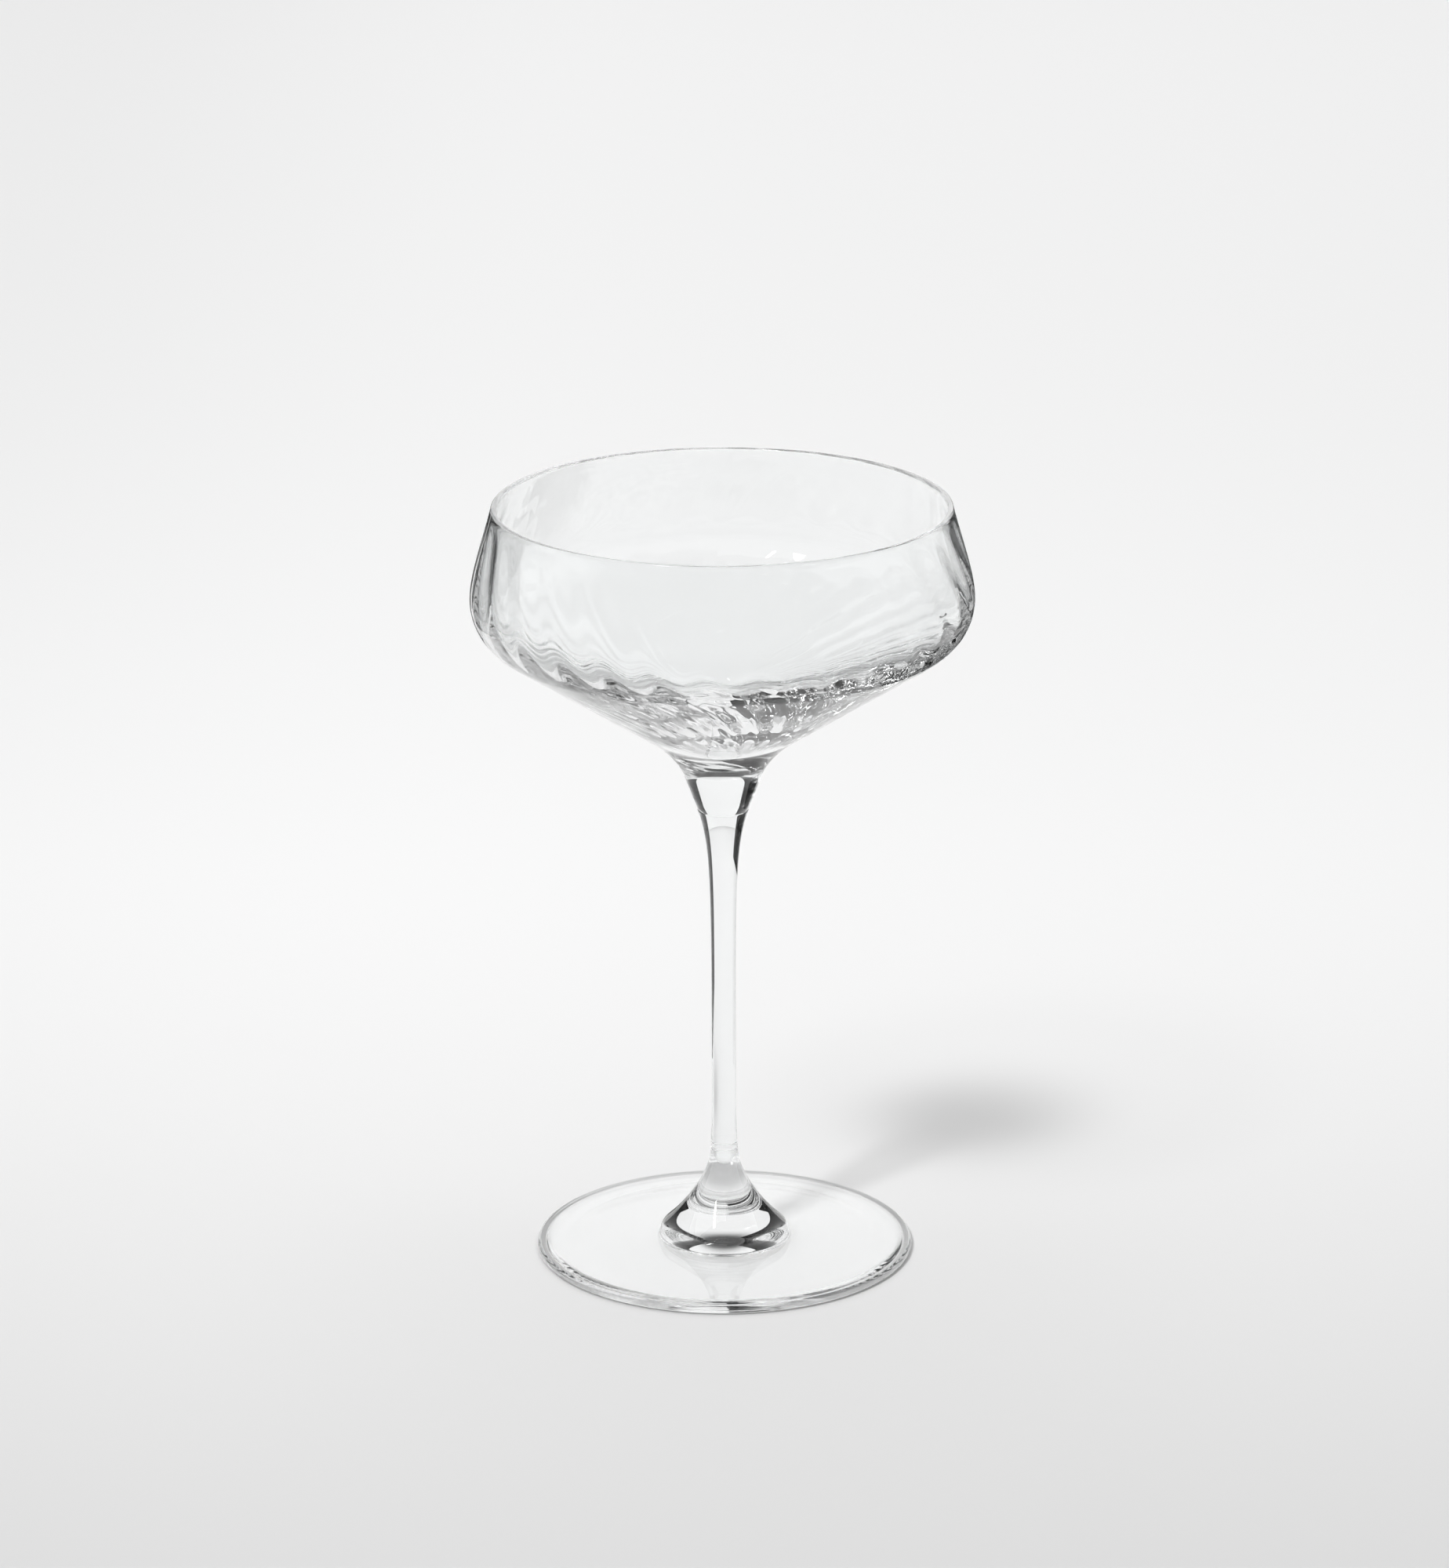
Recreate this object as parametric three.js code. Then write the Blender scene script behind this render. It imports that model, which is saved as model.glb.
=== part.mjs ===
// A stemmed cocktail glass of clear glass, made of three gathers fused end to end:
// a blown bowl with spiral ribs on its inside, a drawn stem and a foot with a conical boss.
// Millimetres, +Z up, origin at the centre of the ring that the foot stands on.
import * as THREE from 'three';

// Foot: a thin disc with a rounded edge, hollowed a little underneath, with a dimple under the boss
const FOOT_RADIUS = 41.5;
const FOOT_EDGE_THICKNESS = 1.9;
const FOOT_EDGE_LOWER_ROUND = 1.6;
const FOOT_EDGE_UPPER_ROUND = 2.4;
const FOOT_REST_WIDTH = 4.5;
const FOOT_HOLLOW_DEPTH = 0.9;
const FOOT_THICKNESS_AT_BOSS = 2.85;
const DIMPLE_RADIUS = 9.5;
const DIMPLE_DEPTH = 1.3;

// Boss: the cone on the foot that flares down from the stem to a rounded toe
const BOSS_RADIUS = 14.3;
const BOSS_TOE_HEIGHT = 1.9;
const BOSS_TOE_ROUND = 1.5;
const BOSS_FILLET = 0.8;
const BOSS_HEIGHT = 20.35;
const BOSS_NECK_REACH = 5.9;
const BOSS_SKIRT_REACH = 5.7;
const BOSS_SKIRT_ANGLE = 40;

// Stem: drawn thin above the foot, widening into the neck of the bowl
const STEM_LENGTH = 78.5;
const STEM_FOOT_RADIUS = 3.0;
const STEM_WAIST_RADIUS = 2.68;
const STEM_WAIST_HEIGHT = 10;
const STEM_TOP_RADIUS = 5.6;
const STEM_FLARE_REACH = 9;
const STEM_STRAIGHT_REACH = 50;

// Bowl, outside: solid neck, cone, round shoulder, and a wall that leans in to the rim
const NECK_TAPER = 20.4;
const NECK_HEIGHT = 12.7;
const NECK_FAIRING = 5.4;
const CONE_FAIRING = 8.6;
const SHOULDER_ROUND = 12;
const BELLY_RADIUS = 54.35;
const BELLY_HEIGHT = 47.8;
const RIM_RADIUS = 49.6;
const RIM_LEAN = 14;
const BOWL_HEIGHT = 68.3;
const WALL_REACH_LOW = 5;
const WALL_REACH_HIGH = 8;

// Bowl, inside: a tighter shoulder, a flatter cone and a dished floor, so that the glass thickens downwards
const RIM_WALL = 1.2;
const BELLY_WALL = 1.5;
const INNER_ROUND = 9;
const INNER_LIFT = 0.5;
const WELL_RADIUS = 17;
const WELL_THICKNESS = 8;
const WELL_ROUND = 8;
const BOTTOM_THICKNESS = 20;
const FLOOR_RADIUS = 2.5;
const FLOOR_ROUND = 5;

// Ribs pressed into the gather and twisted while it was blown, deepest on the cone
const RIB_COUNT = 30;
const RIB_RISE = 0.15;
const RIB_TWIST_PER_MM = 1.0;
const RIB_START_ANGLE = 6;
const RIB_FADE_INNER = 8;
const RIB_FADE_OUTER = 16;
const RIB_WALL_SHARE = 0.05;

// Facets round the axis: four to a rib on the bowl
const BOWL_FACETS = RIB_COUNT * 4;
const STEM_FACETS = 32;
const FOOT_FACETS = 72;

const GLASS = { color: 0xf4f6f6, roughness: 0.02, metalness: 0, transparent: true, opacity: 0.35 };

// Heights of the two fused joints above the table
const LOWER_JOINT = FOOT_THICKNESS_AT_BOSS + BOSS_HEIGHT;
const UPPER_JOINT = LOWER_JOINT + STEM_LENGTH;

const point = (radius, height) => new THREE.Vector2(radius, height);

// The point at a distance from another one, along an angle in degrees above the horizontal.
function along(start, degrees, distance) {
  const angle = THREE.MathUtils.degToRad(degrees);
  return point(start.x + distance * Math.cos(angle), start.y + distance * Math.sin(angle));
}

const line = (from, to) => ({ curve: new THREE.LineCurve(from, to), steps: 1 });
const bend = (from, corner, to, steps) => ({ curve: new THREE.QuadraticBezierCurve(from, corner, to), steps });
const sweep = (from, leave, arrive, to, steps) => ({
  curve: new THREE.CubicBezierCurve(from, leave, arrive, to),
  steps,
});

// An arc about a centre between two angles in degrees.
function arc(centre, radius, fromDegrees, toDegrees, steps) {
  const from = THREE.MathUtils.degToRad(fromDegrees);
  const to = THREE.MathUtils.degToRad(toDegrees);
  const clockwise = to < from;
  return { curve: new THREE.EllipseCurve(centre.x, centre.y, radius, radius, from, to, clockwise), steps };
}

// Joins pieces of outline end to end, each cut into its own number of steps.
function outline(pieces) {
  const points = [pieces[0].curve.getPoint(0)];
  for (const { curve, steps } of pieces) {
    for (let step = 1; step <= steps; step += 1) {
      points.push(curve.getPoint(step / steps));
    }
  }
  return points;
}

// Turns an outline that runs from axis to axis about the vertical.
function turned(points, facets) {
  const geometry = new THREE.LatheGeometry(points, facets);
  geometry.rotateX(Math.PI / 2);
  return geometry;
}

function glassMesh(name, geometry, height) {
  const mesh = new THREE.Mesh(geometry, new THREE.MeshStandardMaterial(GLASS));
  mesh.name = name;
  mesh.position.z = height;
  return mesh;
}

// The foot, from the middle of its hollow underside to the flat top of its boss.
function footOutline() {
  const edge = FOOT_EDGE_THICKNESS / 2;
  const restOuter = FOOT_RADIUS - FOOT_EDGE_LOWER_ROUND;
  const restInner = restOuter - FOOT_REST_WIDTH;
  const discTop = FOOT_THICKNESS_AT_BOSS;
  const dimple = point(0, FOOT_HOLLOW_DEPTH + DIMPLE_DEPTH);
  const dimpleBend = point(DIMPLE_RADIUS / 2, dimple.y);
  const hollow = point(DIMPLE_RADIUS, FOOT_HOLLOW_DEPTH);
  const hollowBend = point((DIMPLE_RADIUS + restInner) / 2, FOOT_HOLLOW_DEPTH);
  const ring = point(restInner, 0);
  const ringEnd = point(restOuter, 0);
  const widest = point(FOOT_RADIUS, edge);
  const discEdge = point(FOOT_RADIUS - FOOT_EDGE_UPPER_ROUND, FOOT_EDGE_THICKNESS);
  const filletOuter = point(BOSS_RADIUS + BOSS_FILLET, discTop);
  const filletCorner = point(BOSS_RADIUS, discTop);
  const toe = point(BOSS_RADIUS, discTop + BOSS_TOE_HEIGHT);
  const toeLow = point(BOSS_RADIUS, toe.y - BOSS_TOE_ROUND);
  const toeHigh = along(toe, 180 - BOSS_SKIRT_ANGLE, BOSS_TOE_ROUND);
  const skirt = along(toeHigh, 180 - BOSS_SKIRT_ANGLE, BOSS_SKIRT_REACH);
  const joint = point(STEM_FOOT_RADIUS, LOWER_JOINT);
  const jointBend = point(STEM_FOOT_RADIUS, LOWER_JOINT - BOSS_NECK_REACH);
  return outline([
    bend(dimple, dimpleBend, hollow, 4),
    bend(hollow, hollowBend, ring, 3),
    line(ring, ringEnd),
    bend(ringEnd, point(FOOT_RADIUS, 0), widest, 3),
    bend(widest, point(FOOT_RADIUS, FOOT_EDGE_THICKNESS), discEdge, 3),
    line(discEdge, filletOuter),
    bend(filletOuter, filletCorner, toeLow, 2),
    bend(toeLow, toe, toeHigh, 3),
    sweep(toeHigh, skirt, jointBend, joint, 7),
    line(joint, point(0, LOWER_JOINT)),
  ]);
}

// The stem, from its lower joint to its upper one.
function stemOutline() {
  const low = point(STEM_FOOT_RADIUS, 0);
  const waist = point(STEM_WAIST_RADIUS, STEM_WAIST_HEIGHT);
  const waistBend = point(STEM_WAIST_RADIUS, STEM_WAIST_HEIGHT / 2);
  const top = point(STEM_TOP_RADIUS, STEM_LENGTH);
  const straight = point(STEM_WAIST_RADIUS, STEM_WAIST_HEIGHT + STEM_STRAIGHT_REACH);
  const flare = along(top, 270 - NECK_TAPER, STEM_FLARE_REACH);
  return outline([
    line(point(0, 0), low),
    bend(low, waistBend, waist, 4),
    sweep(waist, straight, flare, top, 12),
    line(top, point(0, STEM_LENGTH)),
  ]);
}

// The angle and the far end of the line from a corner that touches a circle from below.
function tangentBelow(corner, centre, radius) {
  const reach = corner.distanceTo(centre);
  const towards = Math.atan2(centre.y - corner.y, centre.x - corner.x);
  const degrees = THREE.MathUtils.radToDeg(towards - Math.asin(radius / reach));
  return { degrees, end: along(corner, degrees, Math.sqrt(reach ** 2 - radius ** 2)) };
}

// The corner where the neck's taper and the outer cone would meet.
function neckCorner() {
  const spread = NECK_HEIGHT * Math.tan(THREE.MathUtils.degToRad(NECK_TAPER));
  return point(STEM_TOP_RADIUS + spread, NECK_HEIGHT);
}

// The bowl's outside, from the middle of its joint to the rim.
function bowlOutside(shoulder, lip) {
  const joint = point(STEM_TOP_RADIUS, 0);
  const corner = neckCorner();
  const neckEnd = along(corner, 270 - NECK_TAPER, NECK_FAIRING);
  const cone = tangentBelow(corner, shoulder, SHOULDER_ROUND);
  const coneStart = along(corner, cone.degrees, CONE_FAIRING);
  const belly = point(BELLY_RADIUS, BELLY_HEIGHT);
  const rim = along(lip, RIM_LEAN, RIM_WALL / 2);
  return [
    line(point(0, 0), joint),
    line(joint, neckEnd),
    bend(neckEnd, corner, coneStart, 4),
    line(coneStart, cone.end),
    arc(shoulder, SHOULDER_ROUND, cone.degrees - 90, 0, 5),
    sweep(belly, point(BELLY_RADIUS, BELLY_HEIGHT + WALL_REACH_LOW), along(rim, RIM_LEAN - 90, WALL_REACH_HIGH), rim, 4),
  ];
}

// The point on the line from one point to another, at a distance from the first.
const partWay = (from, to, distance) => from.clone().add(to.clone().sub(from).setLength(distance));

// The bowl's inside, from the rim down to the middle of its floor.
function bowlInside(shoulder, lip) {
  const rim = along(lip, RIM_LEAN + 180, RIM_WALL / 2);
  const belly = point(BELLY_RADIUS - BELLY_WALL, BELLY_HEIGHT + INNER_LIFT);
  const innerShoulder = point(belly.x - INNER_ROUND, belly.y);
  const corner = neckCorner();
  const outerSlope = tangentBelow(corner, shoulder, SHOULDER_ROUND).degrees;
  const outerHeight = corner.y + (WELL_RADIUS - corner.x) * Math.tan(THREE.MathUtils.degToRad(outerSlope));
  const well = point(WELL_RADIUS, outerHeight + WELL_THICKNESS);
  const cone = tangentBelow(well, innerShoulder, INNER_ROUND);
  const wellStart = along(well, cone.degrees, WELL_ROUND);
  const floor = point(FLOOR_RADIUS, BOTTOM_THICKNESS);
  const wellEnd = partWay(well, floor, WELL_ROUND);
  const floorStart = partWay(floor, well, FLOOR_ROUND);
  const coneWall = line(cone.end, wellStart);
  coneWall.steps = 5;
  return [
    sweep(rim, along(rim, RIM_LEAN - 90, WALL_REACH_HIGH), point(belly.x, belly.y + WALL_REACH_LOW), belly, 5),
    arc(innerShoulder, INNER_ROUND, 0, cone.degrees - 90, 5),
    coneWall,
    bend(wellStart, well, wellEnd, 3),
    line(wellEnd, floorStart),
    bend(floorStart, floor, point(0, BOTTOM_THICKNESS), 3),
  ];
}

// Raises the ribs on the inside of the bowl and winds them round as they go down from the rim.
function raiseRibs(geometry, ringCount, firstInside) {
  const positions = geometry.attributes.position;
  const normals = geometry.attributes.normal;
  const place = new THREE.Vector3();
  const outward = new THREE.Vector3();
  const axis = new THREE.Vector3(0, 0, 1);
  const start = THREE.MathUtils.degToRad(RIB_START_ANGLE);
  const wallFoot = BELLY_HEIGHT + INNER_LIFT;
  for (let index = 0; index < positions.count; index += 1) {
    if (index % ringCount < firstInside) continue;
    place.fromBufferAttribute(positions, index);
    outward.fromBufferAttribute(normals, index);
    const crest = Math.cos(RIB_COUNT * (Math.atan2(place.y, place.x) - start));
    const fadeFloor = THREE.MathUtils.smoothstep(Math.hypot(place.x, place.y), RIB_FADE_INNER, RIB_FADE_OUTER);
    const overShoulder = THREE.MathUtils.smoothstep(place.z, wallFoot - INNER_ROUND, wallFoot);
    const fadeShoulder = 1 - (1 - RIB_WALL_SHARE) * overShoulder;
    const fadeRim = 1 - THREE.MathUtils.smoothstep(place.z, wallFoot, BOWL_HEIGHT);
    const twist = THREE.MathUtils.degToRad(RIB_TWIST_PER_MM * (BOWL_HEIGHT - RIM_WALL - place.z));
    place.addScaledVector(outward, RIB_RISE * crest * fadeFloor * fadeShoulder * fadeRim);
    place.applyAxisAngle(axis, Math.max(twist, 0));
    positions.setXYZ(index, place.x, place.y, place.z);
  }
  geometry.computeVertexNormals();
}

function bowlGeometry() {
  const shoulder = point(BELLY_RADIUS - SHOULDER_ROUND, BELLY_HEIGHT);
  const lip = point(RIM_RADIUS - RIM_WALL / 2, BOWL_HEIGHT - RIM_WALL / 2);
  const outside = bowlOutside(shoulder, lip);
  const overLip = [
    arc(lip, RIM_WALL / 2, RIM_LEAN, 90, 2),
    arc(lip, RIM_WALL / 2, 90, RIM_LEAN + 180, 2),
  ];
  const wallPoints = outline([...outside, ...overLip]);
  const points = outline([...outside, ...overLip, ...bowlInside(shoulder, lip)]);
  const geometry = turned(points, BOWL_FACETS);
  raiseRibs(geometry, points.length, wallPoints.length);
  return geometry;
}

const glass = new THREE.Group();
glass.name = 'cocktail_glass';
glass.add(glassMesh('foot', turned(footOutline(), FOOT_FACETS), 0));
glass.add(glassMesh('stem', turned(stemOutline(), STEM_FACETS), LOWER_JOINT));
glass.add(glassMesh('bowl', bowlGeometry(), UPPER_JOINT));

export default glass;
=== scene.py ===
"""Looks of a stemmed cocktail glass: clear crystal with spiral ribs, on a pale studio floor."""

import logging
import math
from dataclasses import dataclass
from enum import Enum
from typing import Any, Iterable, Optional

import bmesh
import bpy
from mathutils import Matrix, Vector


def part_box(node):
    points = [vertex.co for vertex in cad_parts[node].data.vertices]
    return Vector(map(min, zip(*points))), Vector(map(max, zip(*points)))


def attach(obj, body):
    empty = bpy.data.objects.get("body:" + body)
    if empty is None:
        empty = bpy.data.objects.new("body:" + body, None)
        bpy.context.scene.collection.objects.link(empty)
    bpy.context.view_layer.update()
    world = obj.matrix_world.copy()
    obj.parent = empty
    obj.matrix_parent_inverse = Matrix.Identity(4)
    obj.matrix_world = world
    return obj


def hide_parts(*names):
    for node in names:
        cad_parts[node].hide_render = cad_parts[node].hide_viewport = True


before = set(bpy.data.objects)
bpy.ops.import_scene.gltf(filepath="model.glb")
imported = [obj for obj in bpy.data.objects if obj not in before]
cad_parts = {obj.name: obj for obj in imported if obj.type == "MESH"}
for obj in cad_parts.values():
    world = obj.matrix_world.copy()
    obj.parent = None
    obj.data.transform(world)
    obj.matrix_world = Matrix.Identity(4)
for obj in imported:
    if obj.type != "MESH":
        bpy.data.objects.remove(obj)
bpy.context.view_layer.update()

LOG = logging.getLogger("cocktail_glass")
MM = 0.001
BODY = "root"

# Light may cross or be mirrored in the glass this often, and pass this many clear cards
GLASS_BOUNCES = 128
CLEAR_LAYERS = 32

# A card with these values takes no plain rays, or no mirrored ones
BEYOND_STUDIO = 100.0
NEVER_MIRRORED = 1000

# Half a count, so that a whole count is safely above or below a limit
HALF_COUNT = 0.5

# Half the side of a square one metre across
HALF_SIDE = 0.5

Outline = list[Vector]


class Node(Enum):
    """The frame's nodes that the dressed pieces stand for."""

    BOWL = "bowl"
    STEM = "stem"
    FOOT = "foot"


def linear(hex_colour: str) -> tuple[float, float, float, float]:
    """Turns an sRGB hex colour into linear light.

    Args:
        hex_colour: six hex digits, with or without a leading hash.

    Returns:
        The linear red, green and blue, and an alpha of one.
    """
    digits = hex_colour.lstrip("#")
    levels = [int(digits[i:i + 2], 16) / 255 for i in (0, 2, 4)]
    light = [v / 12.92 if v <= 0.04045 else ((v + 0.055) / 1.055) ** 2.4 for v in levels]
    return light[0], light[1], light[2], 1.0


def add_node(
    tree: bpy.types.NodeTree,
    kind: str,
    settings: Optional[dict[str | int, Any]] = None,
    links: Optional[dict[str | int, bpy.types.NodeSocket]] = None,
    **properties: Any,
) -> bpy.types.Node:
    """Adds a shader node with its settings and its links.

    Args:
        tree: the node tree that takes the node.
        kind: the node's type name.
        settings: values of input sockets, by socket name or number.
        links: output sockets that feed input sockets, by socket name or number.
        properties: attributes of the node itself.

    Returns:
        The new node.
    """
    node = tree.nodes.new(kind)
    for name, value in properties.items():
        setattr(node, name, value)
    for name, value in (settings or {}).items():
        node.inputs[name].default_value = value
    for name, source in (links or {}).items():
        tree.links.new(source, node.inputs[name])
    return node


def new_material(name: str) -> tuple[bpy.types.Material, bpy.types.NodeTree, bpy.types.Node]:
    """Starts an empty node material.

    Args:
        name: the material's name.

    Returns:
        The material, its node tree and its output node.
    """
    material = bpy.data.materials.new(name)
    material.use_nodes = True
    tree = material.node_tree
    tree.nodes.clear()
    return material, tree, tree.nodes.new("ShaderNodeOutputMaterial")


def polar(start: Vector, degrees: float, distance: float) -> Vector:
    """Finds the point at a distance from another one.

    Args:
        start: radius and height to start from.
        degrees: direction above the horizontal, outwards being zero.
        distance: how far to go.

    Returns:
        The radius and height reached.
    """
    angle = math.radians(degrees)
    return start + Vector((math.cos(angle), math.sin(angle))) * distance


def shares(steps: int) -> Iterable[float]:
    """Gives the shares of a stretch at the end of each of its steps."""
    return (step / steps for step in range(1, steps + 1))


def straight(start: Vector, end: Vector, steps: int = 1) -> Outline:
    """Gives the points of a straight stretch of outline, after its start."""
    return [start.lerp(end, t) for t in shares(steps)]


def bend(start: Vector, corner: Vector, end: Vector, steps: int) -> Outline:
    """Gives the points of a rounded corner, after its start.

    Args:
        start: where the rounding leaves the first side.
        corner: where the two sides would meet.
        end: where the rounding joins the second side.
        steps: how many steps it is cut into.

    Returns:
        The points of the rounding.
    """
    return [start.lerp(corner, t).lerp(corner.lerp(end, t), t) for t in shares(steps)]


def sweep(start: Vector, leave: Vector, arrive: Vector, end: Vector, steps: int) -> Outline:
    """Gives the points of a free curve, after its start.

    Args:
        start: where the curve starts.
        leave: the handle that it leaves its start towards.
        arrive: the handle that it arrives at its end from.
        end: where the curve ends.
        steps: how many steps it is cut into.

    Returns:
        The points of the curve.
    """
    points = []
    for t in shares(steps):
        early = start.lerp(leave, t).lerp(leave.lerp(arrive, t), t)
        late = leave.lerp(arrive, t).lerp(arrive.lerp(end, t), t)
        points.append(early.lerp(late, t))
    return points


def arc(centre: Vector, radius: float, start: float, end: float, steps: int) -> Outline:
    """Gives the points of an arc, after its start.

    Args:
        centre: the arc's centre.
        radius: the arc's radius.
        start: direction of its start, in degrees.
        end: direction of its end, in degrees.
        steps: how many steps it is cut into.

    Returns:
        The points of the arc.
    """
    return [polar(centre, start + (end - start) * t, radius) for t in shares(steps)]


def tangent_below(corner: Vector, centre: Vector, radius: float) -> tuple[float, Vector]:
    """Finds the line from a corner that touches a circle from below.

    Args:
        corner: where the line starts.
        centre: the circle's centre.
        radius: the circle's radius.

    Returns:
        The line's direction in degrees, and the point where it touches.
    """
    reach = (centre - corner).length
    towards = math.atan2(centre.y - corner.y, centre.x - corner.x)
    degrees = math.degrees(towards - math.asin(radius / reach))
    return degrees, polar(corner, degrees, math.sqrt(reach ** 2 - radius ** 2))


def smooth_step(value: float, low: float, high: float) -> float:
    """Rises smoothly from zero at the low value to one at the high value."""
    share = min(max((value - low) / (high - low), 0.0), 1.0)
    return share * share * (3 - 2 * share)


@dataclass(frozen=True)
class Crystal:
    """Lead-free crystal, blown, drawn or pressed while hot, and fire polished.

    It is clear and colourless with a mirror-smooth skin, so the eye reads it only by what it bends and
    mirrors: bright where it faces the light floor, black where its curve turns the view aside. Hot work
    leaves a very slow waviness in the skin, which makes the mirrored edges drift a little.

    Lamps shine through thin crystal almost unhindered, and are scattered by the solid glass near the axis and
    by a thick edge, which gives a pale shadow with a dark core. The pass values are the shares of light that
    cross, and the mm values are the radii between which they change.
    """

    name: str = "crystal_blown"
    tint: str = "#FDFEFE"
    ior: float = 1.52
    roughness: float = 0.0
    wave_mm: float = 18.0
    wave_height_mm: float = 0.003
    wave_detail: float = 1.0
    wave_roughness: float = 0.4
    solid_pass: float = 0.55
    thin_pass: float = 0.97
    solid_mm: float = 8.0
    thin_mm: float = 32.0
    edge_pass: float = 1.0
    edge_from_mm: float = 39.0
    edge_to_mm: float = 40.8

    def material(self) -> bpy.types.Material:
        """Builds the crystal's nodes.

        Returns:
            The material.
        """
        material, tree, output = new_material(self.name)
        place = add_node(tree, "ShaderNodeTexCoord")
        waves = add_node(
            tree,
            "ShaderNodeTexNoise",
            {
                "Scale": 1 / (self.wave_mm * MM),
                "Detail": self.wave_detail,
                "Roughness": self.wave_roughness,
            },
            {"Vector": place.outputs["Object"]},
        )
        skin = add_node(
            tree,
            "ShaderNodeBump",
            {"Strength": 1.0, "Distance": self.wave_height_mm * MM},
            {"Height": waves.outputs["Fac"]},
        )
        glass = add_node(
            tree,
            "ShaderNodeBsdfPrincipled",
            {
                "Base Color": linear(self.tint),
                "Roughness": self.roughness,
                "IOR": self.ior,
                "Transmission Weight": 1.0,
            },
            {"Normal": skin.outputs["Normal"]},
        )
        flat = add_node(
            tree,
            "ShaderNodeVectorMath",
            {1: (1.0, 1.0, 0.0)},
            {0: place.outputs["Object"]},
            operation="MULTIPLY",
        )
        radius = add_node(tree, "ShaderNodeVectorMath", links={0: flat.outputs["Vector"]}, operation="LENGTH")
        share = add_node(
            tree,
            "ShaderNodeMapRange",
            {
                "From Min": self.solid_mm * MM,
                "From Max": self.thin_mm * MM,
                "To Min": self.solid_pass,
                "To Max": self.thin_pass,
            },
            {"Value": radius.outputs["Value"]},
            interpolation_type="SMOOTHSTEP",
        )
        edge = add_node(
            tree,
            "ShaderNodeMapRange",
            {
                "From Min": self.edge_from_mm * MM,
                "From Max": self.edge_to_mm * MM,
                "To Min": 1.0,
                "To Max": self.edge_pass,
            },
            {"Value": radius.outputs["Value"]},
            interpolation_type="SMOOTHSTEP",
        )
        both = add_node(
            tree,
            "ShaderNodeMath",
            links={0: share.outputs["Result"], 1: edge.outputs["Result"]},
            operation="MULTIPLY",
        )
        path = add_node(tree, "ShaderNodeLightPath")
        passing = add_node(tree, "ShaderNodeBsdfTransparent", links={"Color": both.outputs["Value"]})
        mix = add_node(tree, "ShaderNodeMixShader", links={"Fac": path.outputs["Is Shadow Ray"]})
        tree.links.new(glass.outputs["BSDF"], mix.inputs[1])
        tree.links.new(passing.outputs["BSDF"], mix.inputs[2])
        tree.links.new(mix.outputs["Shader"], output.inputs["Surface"])
        return material


@dataclass(frozen=True)
class FusedJoint:
    """The face where two hot gathers were pressed together.

    Both sides are the same crystal, so light crosses the face unbent and nothing of it shows.
    """

    name: str = "crystal_fused_joint"

    def material(self) -> bpy.types.Material:
        """Builds a glass that bends nothing.

        Returns:
            The material.
        """
        material, tree, output = new_material(self.name)
        clear = add_node(tree, "ShaderNodeBsdfTransparent", {"Color": (1.0, 1.0, 1.0, 1.0)})
        tree.links.new(clear.outputs["BSDF"], output.inputs["Surface"])
        return material


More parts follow.
